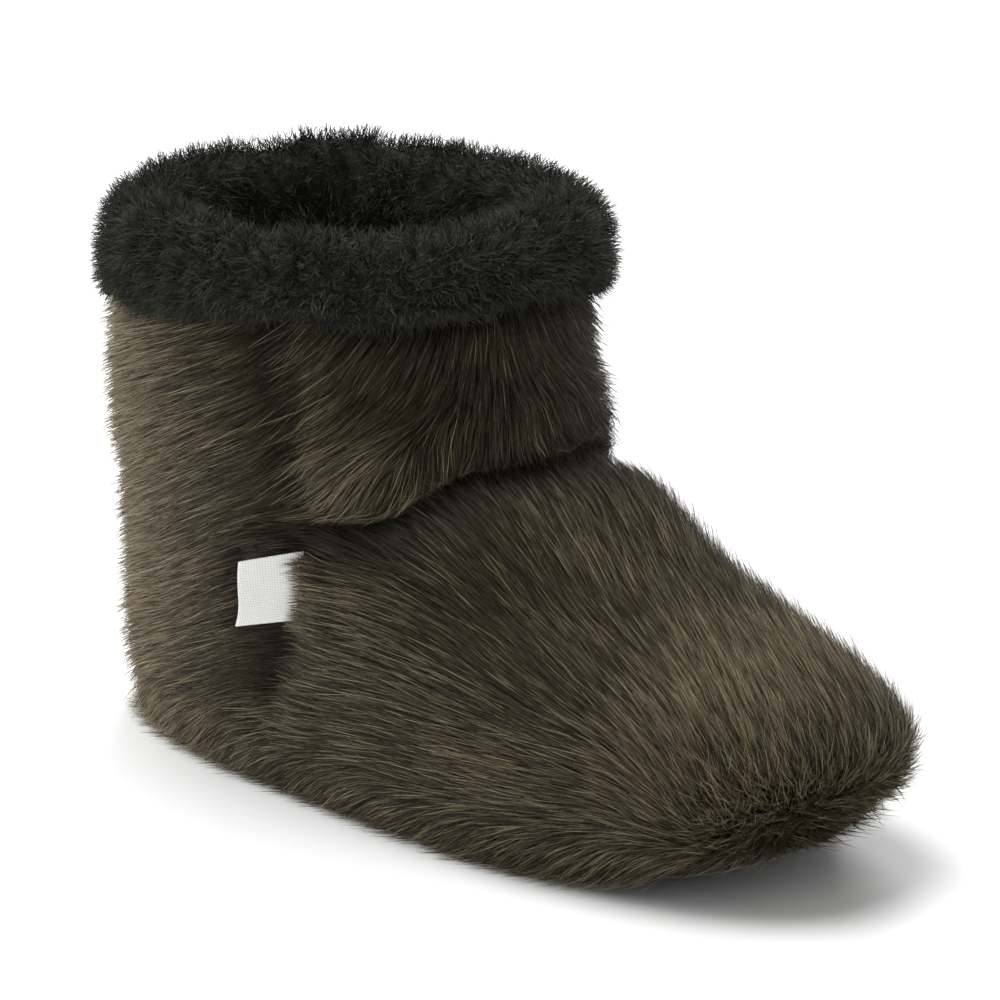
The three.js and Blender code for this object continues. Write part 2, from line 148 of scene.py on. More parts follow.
def last_point(z, angle):
    """The outline's point at a height and an angle from the toe towards the inner side."""
    heel, toe, heel_half, ball_half, power, toe_power = np.moveaxis(read_table(LEVELS, z)[..., 1:], -1, 0)
    c, s = np.cos(angle), np.sin(angle)
    bent = lerp(power, toe_power, smoothstep(c, *TOE_BLEND))
    x = (toe + heel) / 2 + (toe - heel) / 2 * signed_power(c, bent)
    width = lerp(heel_half, ball_half, smoothstep(c, -BALL_BLEND, BALL_BLEND))
    waist = np.where(s > 0, WAIST_INNER, WAIST_OUTER) * bell((x - WAIST_X) / WAIST_SPREAD)
    tuck = waist * (1 - smoothstep(z, *WAIST_FADE))
    swing = TOE_SWING * smoothstep(x, SWING_START, LENGTH)
    return placed(x, (width - tuck) * signed_power(s, bent) + swing, z)


def angle_at_x(z, x):
    heel, toe, _, _, power, _ = np.moveaxis(read_table(LEVELS, z)[..., 1:], -1, 0)
    along = np.clip((x - (toe + heel) / 2) / ((toe - heel) / 2), -1, 1)
    return np.arccos(signed_power(along, 1 / power))


def column_angle(z, w):
    """The angle of a column: w is 0 at the toe, 1 at a seam and 2 at the heel, under 0 outside."""
    seam = angle_at_x(z, read_table(SEAM, z)[..., 1])
    u = np.abs(w)
    return np.sign(w) * np.where(u <= 1, u * seam, lerp(seam, np.pi, u - 1))


def level_normal(z, angle):
    around = last_point(z, angle + 0.02) - last_point(z, angle - 0.02)
    return unit(np.stack([around[..., 1], -around[..., 0], np.zeros_like(z)], -1))


def level_point(z, w, inset):
    """A point of the last set in without leaving its height."""
    angle = column_angle(z, w)
    return last_point(z, angle) - level_normal(z, angle) * np.asarray(inset)[..., None]


def crease_height(w):
    u = np.abs(w)
    return CREASE_Z - CREASE_DROP * smoothstep(u, 0.3, 0.95) * (1 - smoothstep(u, 1.05, 1.5))


def cuff_edge(w):
    turn = w * np.pi / 2
    slant = EDGE_FRONT_RISE * np.cos(turn) - EDGE_OUTER_RISE * np.sin(turn)
    return CUFF_EDGE_Z + slant + EDGE_WAVE * (np.sin(3 * turn + 0.6) + 0.6 * np.sin(5 * turn + 2))


def soft_noise(shape, cells):
    """Smooth random values from -1 to 1 that meet around the columns."""
    lattice = RNG.uniform(-1, 1, (cells[0] + 2, cells[1]))
    lattice = np.concatenate([lattice, lattice[:, :2]], axis=1)
    r = np.linspace(0, cells[0], shape[0])
    c = np.linspace(0, cells[1], shape[1])
    i, j = np.minimum(r.astype(int), cells[0]), np.minimum(c.astype(int), cells[1])
    a = smoothstep(r - i, 0, 1)[:, None]
    b = smoothstep(c - j, 0, 1)[None, :]
    i, j = i[:, None], j[None, :]
    low = lerp(lattice[i, j], lattice[i, j + 1], b)
    high = lerp(lattice[i + 1, j], lattice[i + 1, j + 1], b)
    return lerp(low, high, a)


class Coat:
    """A surface on a grid of rows and columns, on which strands grow."""

    def __init__(self, points, ring=True):
        self.points = points
        self.ring = ring
        self.along = self._slope(points, 1)
        self.up = self._slope(points, 0)
        across = np.cross(self.along, self.up)
        self.area = np.linalg.norm(across, axis=-1)
        self.normal = unit(across)

    def _slope(self, field, axis):
        slope = np.gradient(field, axis=axis)
        if axis == 1 and self.ring:
            slope[:, 0] = slope[:, -1] = (field[:, 1] - field[:, -2]) / 2
        return slope

    def at(self, field, r, c):
        """A field's values between the grid's points."""
        rows, columns = field.shape[:2]
        r = np.clip(r, 0, rows - 1.001)
        c = np.mod(c, columns - 1) if self.ring else np.clip(c, 0, columns - 1.001)
        i, j = r.astype(int), c.astype(int)
        a, b = r - i, c - j
        if field.ndim == 3:
            a, b = a[:, None], b[:, None]
        low = lerp(field[i, j], field[i, j + 1], b)
        high = lerp(field[i + 1, j], field[i + 1, j + 1], b)
        return lerp(low, high, a)

    def scatter(self, count, weight=1.0):
        """Places spread evenly over the surface, thinned where weight is small."""
        share = (self.area * weight)[:-1, :-1]
        chance = np.cumsum(share.ravel())
        cell = np.searchsorted(chance, RNG.uniform(0, chance[-1], count))
        i, j = np.divmod(cell, share.shape[1])
        return i + RNG.uniform(0, 1, count), j + RNG.uniform(0, 1, count)

    def comb(self, lay, turn):
        """Lays the strands along the vectors of lay, turned in the surface by turn."""
        flat = unit(lay - np.sum(lay * self.normal, -1, keepdims=True) * self.normal)
        aside = np.cross(self.normal, flat)
        flow = flat * np.cos(turn)[..., None] + aside * np.sin(turn)[..., None]
        self.drift = self._steps(flow)
        self.side_drift = self._steps(np.cross(self.normal, flow))

    def _steps(self, flow):
        """Rows and columns that a millimetre along flow passes."""
        aa = np.sum(self.along**2, -1)
        ab = np.sum(self.along * self.up, -1)
        bb = np.sum(self.up**2, -1)
        fa = np.sum(flow * self.along, -1)
        fb = np.sum(flow * self.up, -1)
        size = np.maximum(aa * bb - ab**2, 1e-6)
        return np.stack([(aa * fb - ab * fa) / size, (bb * fa - ab * fb) / size], -1)


CELL_MARGIN = 0.1
ROUNDNESS = 0.8
TAPER = 0.3
CLUMP_BEND = 1.4
HAIR_STATIONS = np.array([0.0, 0.5, 1.0])
WOOL_STATIONS = np.array([0.0, 0.34, 0.68, 1.0])


def lines_along(coat, r, c, length, turn, root, tip, rise):
    """Centre lines of strands that hug the coat and rise from root to tip above it."""
    lines = np.empty((len(r), len(HAIR_STATIONS), 3))
    cos, sin = np.cos(turn)[:, None], np.sin(turn)[:, None]
    for k, s in enumerate(HAIR_STATIONS):
        if k:
            step = cos * coat.at(coat.drift, r, c) + sin * coat.at(coat.side_drift, r, c)
            step *= (length * (s - HAIR_STATIONS[k - 1]))[:, None]
            r, c = r + step[:, 0], c + step[:, 1]
        height = lerp(root, tip, 1 - (1 - s) ** rise)
        lines[:, k] = coat.at(coat.points, r, c) + coat.at(coat.normal, r, c) * height[:, None]
    return lines


def clump(lines, leaders, strength, share):
    """Draws the strands' tips towards the nearest leader's, each by its share."""
    tree = KDTree(len(leaders))
    for k, point in enumerate(leaders[:, 0]):
        tree.insert(point, k)
    tree.balance()
    nearest = np.array([tree.find(point)[1] for point in lines[:, 0]])
    along = np.linspace(0, 1, lines.shape[1]) ** CLUMP_BEND
    pull = (strength[nearest] * share)[:, None, None] * along[None, :, None]
    return lerp(lines, leaders[nearest], pull)


def attach(obj, slot, *nodes):
    """Adds a piece to the scene and hides the nodes that it stands for. slot is not used."""
    bpy.context.scene.collection.objects.link(obj)
    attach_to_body(obj, "root")
    if nodes:
        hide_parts(*nodes)


def ribbon_mesh(name, lines, facing, widths, tints, material):
    """Strands as tapering ribbons that end in a tip, shaded as if they were round."""
    count, stations = lines.shape[:2]
    body = stations - 1
    each = 2 * body + 1
    ways = lines[:, 1:] - lines[:, :-1]
    ways[:, 1:] += ways[:, :-1]
    ways = unit(ways)
    side = unit(np.cross(ways, facing[:, None, :]))
    front = np.cross(side, ways)
    taper = np.linspace(1, 0, stations)[:-1] ** TAPER
    half = side * (widths[:, None] * taper[None, :] / 2)[..., None]
    points = np.empty((count, each, 3))
    normals = np.empty((count, each, 3))
    shades = np.ones((count, each, 4))
    for first, sign in ((0, -1), (1, 1)):
        points[:, first:-1:2] = lines[:, :-1] + sign * half
        normals[:, first:-1:2] = unit(front + sign * ROUNDNESS * side)
        shades[:, first:-1:2, :3] = tints[:, :-1]
    points[:, -1] = lines[:, -1]
    normals[:, -1] = front[:, -1]
    shades[:, -1, :3] = tints[:, -1]

    corners = [v + 2 * k for k in range(body - 1) for v in (0, 1, 3, 2)] + [each - 3, each - 2, each - 1]
    corners = np.array(corners)
    starts = np.arange(body) * 4
    mesh = bpy.data.meshes.new(name)
    mesh.vertices.add(count * each)
    mesh.vertices.foreach_set("co", (points * MM).ravel())
    mesh.loops.add(count * len(corners))
    mesh.loops.foreach_set("vertex_index", (np.arange(count)[:, None] * each + corners).ravel())
    mesh.polygons.add(count * body)
    mesh.polygons.foreach_set("loop_start", (np.arange(count)[:, None] * len(corners) + starts).ravel())
    mesh.update(calc_edges=True)
    mesh.polygons.foreach_set("use_smooth", np.ones(count * body, bool))
    tint = mesh.color_attributes.new("Tint", "FLOAT_COLOR", "POINT")
    tint.data.foreach_set("color", shades.ravel())
    cells = math.ceil(math.sqrt(count))
    cell = np.stack(np.divmod(np.arange(count), cells), 1)
    across = np.array([v % 2 for v in range(each - 1)] + [0.5])
    upward = np.array([v // 2 / body for v in range(each - 1)] + [1])
    in_cell = CELL_MARGIN + (1 - 2 * CELL_MARGIN) * np.stack([across, upward], 1)
    chart = (cell[:, None, :] + in_cell[corners][None]) / cells
    mesh.uv_layers.new(name="OFBake").data.foreach_set("uv", chart.ravel())
    mesh.normals_split_custom_set_from_vertices(normals.reshape(-1, 3))
    mesh.materials.append(material)
    return bpy.data.objects.new(name, mesh)


def grid_mesh(name, points, material, wrap_rows=False, wrap_columns=False):
    """A smooth mesh of quads over a grid of points."""
    rows, columns = points.shape[:2]
    i = np.arange(rows if wrap_rows else rows - 1)
    j = np.arange(columns if wrap_columns else columns - 1)
    i, j = np.meshgrid(i, j, indexing="ij")
    above, beside = (i + 1) % rows, (j + 1) % columns
    low = [i * columns + j, i * columns + beside]
    high = [above * columns + beside, above * columns + j]
    quads = np.stack(low + high, -1)
    return quad_mesh(name, points.reshape(-1, 3), quads.reshape(-1, 4), material)


def quad_mesh(name, points, faces, material):
    """A smooth mesh of the given faces."""
    mesh = bpy.data.meshes.new(name)
    mesh.from_pydata((points * MM).tolist(), [], [list(face) for face in faces])
    mesh.polygons.foreach_set("use_smooth", np.ones(len(mesh.polygons), bool))
    mesh.materials.append(material)
    mesh.update()
    return bpy.data.objects.new(name, mesh)


# Materials.

MATT_SPECULAR = 0.2
MOTTLE_DETAIL = 6.0
MOTTLE_RANGE = (0.3, 0.7)


def new_material(name, roughness, specular, sheen=0.0):
    material = bpy.data.materials.new(name)
    material.use_nodes = True
    shader = material.node_tree.nodes["Principled BSDF"]
    shader.inputs["Roughness"].default_value = roughness
    shader.inputs["Specular IOR Level"].default_value = specular
    shader.inputs["Sheen Weight"].default_value = sheen
    return material, material.node_tree, shader


def strand_material(name, roughness, specular):
    """A material that takes its colour from the strands' own tints."""
    material, tree, shader = new_material(name, roughness, specular)
    tint = tree.nodes.new("ShaderNodeVertexColor")
    tint.layer_name = "Tint"
    tree.links.new(tint.outputs["Color"], shader.inputs["Base Color"])
    return material


def mottled_material(name, dark, light, scale, roughness, bump, sheen=0.0):
    """A matt surface whose colour and relief change with one noise."""
    material, tree, shader = new_material(name, roughness, MATT_SPECULAR, sheen)
    place = tree.nodes.new("ShaderNodeTexCoord")
    noise = tree.nodes.new("ShaderNodeTexNoise")
    noise.inputs["Scale"].default_value = scale
    noise.inputs["Detail"].default_value = MOTTLE_DETAIL
    tree.links.new(place.outputs["Object"], noise.inputs["Vector"])
    ramp = tree.nodes.new("ShaderNodeValToRGB")
    ramp.color_ramp.elements[0].position = MOTTLE_RANGE[0]
    ramp.color_ramp.elements[0].color = (*dark, 1)
    ramp.color_ramp.elements[1].position = MOTTLE_RANGE[1]
    ramp.color_ramp.elements[1].color = (*light, 1)
    tree.links.new(noise.outputs["Fac"], ramp.inputs["Fac"])
    tree.links.new(ramp.outputs["Color"], shader.inputs["Base Color"])
    relief = tree.nodes.new("ShaderNodeBump")
    relief.inputs["Strength"].default_value = bump
    relief.inputs["Distance"].default_value = MM
    tree.links.new(noise.outputs["Fac"], relief.inputs["Height"])
    tree.links.new(relief.outputs["Normal"], shader.inputs["Normal"])
    return material


FUR = strand_material("fur_strands", roughness=0.34, specular=0.14)
WOOL = strand_material("wool_strands", roughness=0.75, specular=0.12)
HIDE = mottled_material(
    "fur_hide", (0.006, 0.0045, 0.003), (0.016, 0.012, 0.008), scale=90, roughness=0.9, bump=0.5)
WOOL_BASE = mottled_material(
    "wool_base", (0.007, 0.007, 0.0062), (0.018, 0.018, 0.0155), scale=140, roughness=0.95, bump=0.8)
SUEDE = mottled_material(
    "sole_suede", (0.014, 0.0065, 0.0048), (0.03, 0.0135, 0.0105), scale=420, roughness=0.95, bump=0.6,
    sheen=0.25)


# The coat of fur. Its columns run from heel to heel around the toe, its rows from the hem to the rim.

FUR_ROWS = np.linspace(1.5, 150, 130)
FUR_COLUMNS = np.linspace(-2, 2, 481)
Z, W = np.meshgrid(FUR_ROWS, FUR_COLUMNS, indexing="ij")
U = np.abs(W)
CREASE = crease_height(W)
BASE = Coat(last_point(Z, column_angle(Z, W)))
X_HEEL = BASE.points[..., 0] + MIDDLE_X

# Troughs and ridges of the fur in millimetres, and the stretch over which each one fades.
SEAM_DEPTH = 4.2
SEAM_SPREAD = 5.0
SEAM_ARC = 0.6
SEAM_FADE = (8, 20)
CREASE_DEPTH = 6.0
CREASE_SPREAD = 5.0
CREASE_FADE = (0.9, 1.2)
BULGE_HEIGHT = 2.4
BULGE_ABOVE = 13
BULGE_SPREAD = 8
VAMP_DEPTH = 1.6
VAMP_BELOW = 22
VAMP_SLANT = 8
VAMP_SPREAD = 7
VAMP_FADE = (0.55, 0.9)
HEM_TUCK = 2.2
HEM_FADE = (1.5, 8)


def fur_relief():
    """Soft troughs and ridges of the fur, in millimetres along its normal."""
    toe = read_table(LEVELS, Z)[..., 2]
    seam = -SEAM_DEPTH * bell((U - 1) * toe * SEAM_ARC / SEAM_SPREAD) * smoothstep(Z, *SEAM_FADE)
    front = 1 - smoothstep(U, *CREASE_FADE)
    crease = -CREASE_DEPTH * bell((Z - CREASE) / CREASE_SPREAD) * front
    above = BULGE_HEIGHT * bell((Z - CREASE - BULGE_ABOVE) / BULGE_SPREAD) * front
    below = Z - CREASE + VAMP_BELOW + VAMP_SLANT * U
    vamp = -VAMP_DEPTH * bell(below / VAMP_SPREAD) * (1 - smoothstep(U, *VAMP_FADE))
    hem = -HEM_TUCK * (1 - smoothstep(Z, *HEM_FADE))
    return np.minimum(seam, crease) + above + vamp + hem


COAT = Coat(BASE.points + BASE.normal * fur_relief()[..., None])

# Which way the fur lies on each part of the foot.
LAY_FOOT = np.array([-1.0, 0.0, 0.1])
LAY_VAMP = np.array([-1.0, 0.0, 0.5])
LAY_TOE = np.array([-0.6, 0.0, 1.0])
LAY_SHAFT = np.array([-0.76, 0.0, -0.66])
LAY_HEEL = np.array([-0.9, 0.0, -0.42])
LAY_HANG = np.array([0.0, 0.0, -0.85])
TOE_RANGE = (222, 256)
VAMP_Z_RANGE = (32, 60)
VAMP_X_RANGE = (130, 175)
HANG_RANGE = (3, 22)


def fur_lay():
    """The fur's lay: back from the toe, falling on the shaft, hanging at the hem."""
    on_vamp = smoothstep(Z, *VAMP_Z_RANGE) * smoothstep(X_HEEL, *VAMP_X_RANGE)
    on_toe = smoothstep(X_HEEL, *TOE_RANGE)
    on_shaft = smoothstep(Z, CREASE - 3, CREASE + 5)
    on_back = smoothstep(U, 0.97, 1.12)
    lay = LAY_FOOT
    for way, share in ((LAY_VAMP, on_vamp), (LAY_TOE, on_toe), (LAY_SHAFT, on_shaft), (LAY_HEEL, on_back)):
        lay = lerp(lay, way, share[..., None])
    hang = (1 - smoothstep(Z, *HANG_RANGE)) * (1 - 0.5 * on_toe)
    return lay + hang[..., None] * LAY_HANG


TURN = 0.09 * soft_noise(Z.shape, (7, 26)) + 0.05 * soft_noise(Z.shape, (22, 84))
COAT.comb(fur_lay(), TURN)


def spot(x, z, reach_x, reach_z):
    """A soft patch about a place on the outer side of the foot."""
    on_side = smoothstep(-COAT.points[..., 1], -12, 12)
    return bell((X_HEEL - x) / reach_x) * bell((COAT.points[..., 2] - z) / reach_z) * on_side


# The share of light strands, and how much more or less of it each part of the foot has. Besides random
# patches, it holds painted sheen and rim light on the back panel, at the heel's edge and in a few spots,
# painted light on the hem and the instep, and painted shade in the crease, the vamp's trough, along the seams
# and on the shaft's front.
PLAIN_TONE = 0.095
PATCH_TONE = 0.06
# painted sheen on the back panel and painted rim light along the heel's edge
BACK_PAINTED_SHEEN = 0.56
HEEL_PAINTED_RIM_LIGHT = 0.28
# painted light on the hem
HEM_PAINTED_LIGHT = 0.14
TOE_TONE = 0.24
# painted light on top of the instep
INSTEP_PAINTED_LIGHT = 0.12
# painted shade in the ankle crease, the vamp's trough, along the seams and on the shaft's front
CREASE_PAINTED_SHADE = 0.14
VAMP_PAINTED_SHADE = 0.06
SEAM_PAINTED_SHADE = 0.22
SHAFT_PAINTED_SHADE = 0.1
TONE_LIMITS = (0.02, 0.9)
# painted sheen: place along the foot, height, reach along it and up, and how much lighter
PAINTED_SHEEN_SPOTS = (
    (134, 56, 20, 12, 0.3),
    (136, 102, 15, 12, 0.42),
    (196, 32, 26, 12, 0.14),
)


def fur_tone_and_painted_light():
    """How light the fur is, from 0 to 1: random patches of its own tone, with painted sheen, painted rim
    light, painted light on the hem and instep, and painted shade in the creases, troughs and on the shaft's
    front.
    """
    tone = PLAIN_TONE + PATCH_TONE * soft_noise(Z.shape, (5, 18)) + PATCH_TONE * soft_noise(Z.shape, (14, 52))
    # painted sheen on the back panel and painted rim light at the heel's edge
    tone += BACK_PAINTED_SHEEN * smoothstep(U, 1.03, 1.45) + HEEL_PAINTED_RIM_LIGHT * smoothstep(U, 1.5, 1.75)
    # painted sheen in a few spots
    for *place, lighter in PAINTED_SHEEN_SPOTS:
        tone += lighter * spot(*place)
    # painted light on the hem, and more light strands on the toe
    tone += HEM_PAINTED_LIGHT * (1 - smoothstep(Z, 12, 34)) + TOE_TONE * smoothstep(X_HEEL, 222, 252)
    # painted shade in the ankle crease, the vamp's trough, along the seams and on the shaft's front
    tone -= CREASE_PAINTED_SHADE * bell((Z - CREASE + 5) / 8) * (1 - smoothstep(U, 0.9, 1.1))
    tone -= VAMP_PAINTED_SHADE * bell((Z - CREASE + 26 + 8 * U) / 9) * (1 - smoothstep(U, 0.5, 0.85))
    tone -= SEAM_PAINTED_SHADE * bell((U - 0.985) / 0.045) * smoothstep(Z, 20, 40)
    tone -= SHAFT_PAINTED_SHADE * smoothstep(Z, CREASE, CREASE + 10) * (1 - smoothstep(U, 0.5, 0.85))
    # painted light on top of the instep
    instep = smoothstep(Z, 35, 60) * (1 - smoothstep(Z, 85, 98))
    tone += INSTEP_PAINTED_LIGHT * (1 - smoothstep(U, 0.15, 0.5)) * instep
    return np.clip(tone, *TONE_LIMITS)


TONE_AND_PAINTED_LIGHT = fur_tone_and_painted_light()
ROOT_TINT = np.array([0.005, 0.0036, 0.0022])
FUZZ_TINT = np.array([0.05, 0.038, 0.0235])
# at the middle and at the tip of a strand
DARK_TINTS = np.array([[0.0085, 0.006, 0.0032], [0.017, 0.0122, 0.0064]])
LIGHT_TINTS = np.array([[0.168, 0.132, 0.073], [0.51, 0.432, 0.28]])
DARK_MIX = (0, 0.25)
LIGHT_MIX = (0.3, 1)
# painted shade in the grooves: how much darker a strand is at full depth
GROOVE_PAINTED_SHADE = 0.7
# the grooves, where the strands sink and take painted shade: along the seams and in a fold
SEAM_GROOVE_AND_SHADE = 0.95
FOLD_GROOVE_AND_SHADE = 0.9
FOLD_PLACE = (140, 79, 24, 8)


def fur_groove_and_painted_shade():
    """1 deep in the ankle crease, less along the side seams and in the fold, 0 on open fur. The strands sink
    there and are darkened with painted shade.
    """
    front = 1 - smoothstep(U, 0.92, 1.06)
    crease = bell((Z - CREASE + 4.5) / 8.5) * front
    seam = SEAM_GROOVE_AND_SHADE * bell((U - 0.968) / 0.04) * smoothstep(Z, 18, 40)
    fold = FOLD_GROOVE_AND_SHADE * spot(*FOLD_PLACE)
    return np.maximum(np.maximum(crease, seam), fold)


GROOVE_AND_PAINTED_SHADE = fur_groove_and_painted_shade()


def fur_tints(light, depth, fuzz):
    """Colours along each strand, darkest at its root, darkened with painted shade in a groove, and even in
    the short fuzz.
    """
    count = len(light)
    own = np.where(light, RNG.uniform(*LIGHT_MIX, count), RNG.uniform(*DARK_MIX, count))[:, None]
    middle = lerp(DARK_TINTS[0], LIGHT_TINTS[0], own)
    tip = lerp(DARK_TINTS[1], LIGHT_TINTS[1], own)
    root = np.broadcast_to(ROOT_TINT, (count, 3))
    # painted shade in the grooves
    tints = np.stack([root, middle, tip], 1) * (1 - GROOVE_PAINTED_SHADE * depth)[:, None, None]
    return np.maximum(tints, FUZZ_TINT * fuzz[:, None, None])


def toe_fuzz(points):
    """1 on the short fur low at the tip of the toe, 0 elsewhere."""
    return smoothstep(points[:, 0], 112, 128) * (1 - smoothstep(points[:, 2], 24, 42))


LABEL_Z = 61.5
LABEL_WIDTH = 16.5
LABEL_HEIGHT = 20.5
LABEL_MARGIN = 3


def near_label(points):
    """Where the tab lies over the fur."""
    seam = read_table(SEAM, points[:, 2])[..., 1]
    behind = seam - (points[:, 0] + MIDDLE_X)
    level = np.abs(points[:, 2] - LABEL_Z) < LABEL_HEIGHT / 2 + LABEL_MARGIN
    return (points[:, 1] < 0) & level & (behind > -1) & (behind < LABEL_WIDTH + LABEL_MARGIN)


def on_toe_strip(z, w):
    """1 on the suede strip that rises from the sole around the toe, 0 off it."""
    along = smoothstep(w, 0.05, 0.12) * (1 - smoothstep(w, 0.42, 0.52))
    return along * (1 - smoothstep(z, 9, 13))


def fur_cover():
    """How thick the fur grows: more on the toe, nearly none on its strip of suede."""
    return (1 + 1.3 * smoothstep(X_HEEL, 225, 250)) * (1 - 0.9 * on_toe_strip(Z, W))


# The strands, in millimetres where they are lengths.
FUR_FLOOR = 0.4
WISP_STRANDS = 7
WISP_PULL = (0.0, 0.5)
STRAY_SHARE = 0.25
STRAY_LIFT = (0.5, 4.5)
STRAY_LENGTH = 0.2
LIGHT_LIFT = 0.9
GROOVE_DROP = 2.0
GROOVE_CALM = 0.7
LEADER_TURN = 0.09
STRAND_TURN = 0.07
TOE_TURN = 0.35
FUZZ_TURN = 0.8
FUR_REACH = (0.7, 1.25)
FUR_WIDTHS = (0.15, 0.25)
LIGHT_WIDER = 0.04
STRAY_WIDER = 0.03
TIP_HEIGHT = 4.4
TIP_START = -0.8
UNDER_LABEL = -2.0
FUR_ROOT = -4.2
TOE_ROOT = -2.4
FUR_RISE = 1.4
CUFF_OVERLAP = 3
# name, strands, first and last column, length
FUR_PANELS = (
    ("fur_front_outer", 64000, -1.01, 0.0, 13.5),
    ("fur_front_inner", 48000, 0.0, 1.01, 13.5),
    ("fur_back_outer", 43000, -2.0, -0.99, 14.5),
    ("fur_back_inner", 35000, 0.99, 2.0, 14.5),
)


def fur_lines(r, c, length, spread, lift):
    """Centre lines of fur: shorter on the toe, standing off at the hem, flat under the tab."""
    count = len(r)
    points = COAT.at(COAT.points, r, c)
    toe = smoothstep(points[:, 0], 100, 128) * (1 - smoothstep(points[:, 2], 34, 52))
    hem = 1 - smoothstep(points[:, 2], 6, 22)
    reach = length * RNG.uniform(*FUR_REACH, count) * (1 - 0.5 * toe)
    tip = TIP_HEIGHT * RNG.uniform(0, 1, count) ** 1.3 + TIP_START + lift + 1.2 * toe + 1.0 * hem
    tip = np.where(near_label(points), UNDER_LABEL, tip)
    root = lerp(FUR_ROOT, TOE_ROOT, toe)
    turn = RNG.normal(0, 1, count) * lerp(lerp(spread, TOE_TURN, toe), FUZZ_TURN, toe_fuzz(points))
    lines = lines_along(COAT, r, c, reach, turn, root, tip, FUR_RISE)
    lines[..., 2] = np.maximum(lines[..., 2], FUR_FLOOR)
    return lines


def grow_fur(name, count, first, last, length):
    """Fur between two columns, as wisps of strands. Light strands lie on dark ones."""
    inside = ((W >= first) & (W <= last) & (Z < cuff_edge(W) + CUFF_OVERLAP)) * fur_cover()
    leaders = fur_lines(*COAT.scatter(count // WISP_STRANDS, inside), length, LEADER_TURN, 0.0)
    r, c = COAT.scatter(count, inside)
    light = RNG.uniform(0, 1, count) < COAT.at(TONE_AND_PAINTED_LIGHT, r, c)
    stray = RNG.uniform(0, 1, count) < STRAY_SHARE
    # the grooves' depth sinks the strands and paints shade on their colour
    depth = COAT.at(GROOVE_AND_PAINTED_SHADE, r, c)
    stand = stray * RNG.uniform(*STRAY_LIFT, count) * (1 - GROOVE_CALM * depth)
    lift = LIGHT_LIFT * light + stand - GROOVE_DROP * depth
    lines = fur_lines(r, c, length * (1 + STRAY_LENGTH * stray), STRAND_TURN, lift)
    lines = clump(lines, leaders, RNG.uniform(*WISP_PULL, len(leaders)), 1.0 - stray)
    facing = COAT.at(COAT.normal, r, c)
    ways = unit(lines[:, -1] - lines[:, 0])
    twist = RNG.normal(0, 0.5, count)[:, None]
    facing = facing * np.cos(twist) + np.cross(ways, facing) * np.sin(twist)
    widths = RNG.uniform(*FUR_WIDTHS, count) + LIGHT_WIDER * light + STRAY_WIDER * stray
    tints = fur_tints(light, depth, toe_fuzz(lines[:, 0]))
    attach(ribbon_mesh(name, lines, facing, widths, tints, FUR), "fur")


LABEL_WISPS = 900
WISP_COLUMNS = (-0.975, -0.91)
WISP_LIGHT = 0.3
# painted shade on the strands beside the tab, as in the seam's groove
WISP_PAINTED_SHADE = 0.2
WISP_TURN = 0.12
WISP_ROOT = -1.5
WISP_TIPS = (4.6, 8.2)
WISP_LENGTHS = (9, 14)
WISP_WIDTHS = (0.18, 0.3)


def grow_label_wisps(count):
    """Strands in front of the tab that lie over its sewn edge."""
    beside = (W > WISP_COLUMNS[0]) & (W < WISP_COLUMNS[1])
    beside &= np.abs(COAT.points[..., 2] - LABEL_Z) < LABEL_HEIGHT / 2 + 1
    r, c = COAT.scatter(count, beside)
    light = RNG.uniform(0, 1, count) < WISP_LIGHT
    reach = RNG.uniform(*WISP_LENGTHS, count)
    turn = RNG.normal(0, WISP_TURN, count)
    root = np.full(count, WISP_ROOT)
    lines = lines_along(COAT, r, c, reach, turn, root, RNG.uniform(*WISP_TIPS, count), 1.0)
    facing = COAT.at(COAT.normal, r, c)
    # painted shade on the wisps
    tints = fur_tints(light, np.full(count, WISP_PAINTED_SHADE), np.zeros(count))
    widths = RNG.uniform(*WISP_WIDTHS, count)
    attach(ribbon_mesh("fur_by_label", lines, facing, widths, tints, FUR), "fur")


def make_fur():
    for panel in FUR_PANELS:
        grow_fur(*panel)
    grow_label_wisps(LABEL_WISPS)


def coat_place(z, w):
    """The coat's rows and columns at heights and column values, as flat lists."""
    r = (z - FUR_ROWS[0]) / (FUR_ROWS[1] - FUR_ROWS[0])
    c = (w - FUR_COLUMNS[0]) / (FUR_COLUMNS[1] - FUR_COLUMNS[0])
    r, c = np.broadcast_arrays(r, c)
    return r.ravel(), c.ravel()


def under_coat(z, w, depth):
    """Points at a depth under the fur's face."""
    place = coat_place(z, w)
    return COAT.at(COAT.points, *place) - COAT.at(COAT.normal, *place) * depth


HIDE_DEPTH = 4.4
HIDE_INNER = 8.9
HIDE_FOOT_Z = 8.6
HIDE_FOOT_INSET = 6.5
HIDE_HEIGHTS = np.concatenate([[9.5], np.linspace(12, 128, 45)])
HIDE_INNER_HEIGHTS = np.linspace(140, 14, 32)
# height and inset of the rows under the cuff
HIDE_RIM = ((138, 5.6), (147.6, 5.6), (147.6, 8.8))


def make_hide():
    """The wall that carries the fur: its face under the strands, its rims and its inner face."""
    w = FUR_COLUMNS[::3]
    rows = [level_point(np.full_like(w, HIDE_FOOT_Z), w, HIDE_FOOT_INSET)]
    rows += [under_coat(z, w, HIDE_DEPTH) for z in HIDE_HEIGHTS]
    rows += [level_point(np.full_like(w, z), w, inset) for z, inset in HIDE_RIM]
    z, columns = np.meshgrid(HIDE_INNER_HEIGHTS, w, indexing="ij")
    inner = Coat(last_point(z, column_angle(z, columns)))
    # the rows run down, so the normal points in
    rows += list(inner.points + inner.normal * HIDE_INNER)
    rows += [level_point(np.full_like(w, HIDE_FOOT_Z), w, HIDE_INNER)]
    attach(grid_mesh("fur_hide", np.array(rows)[:, :-1], HIDE, True, True), "fur", "upper")


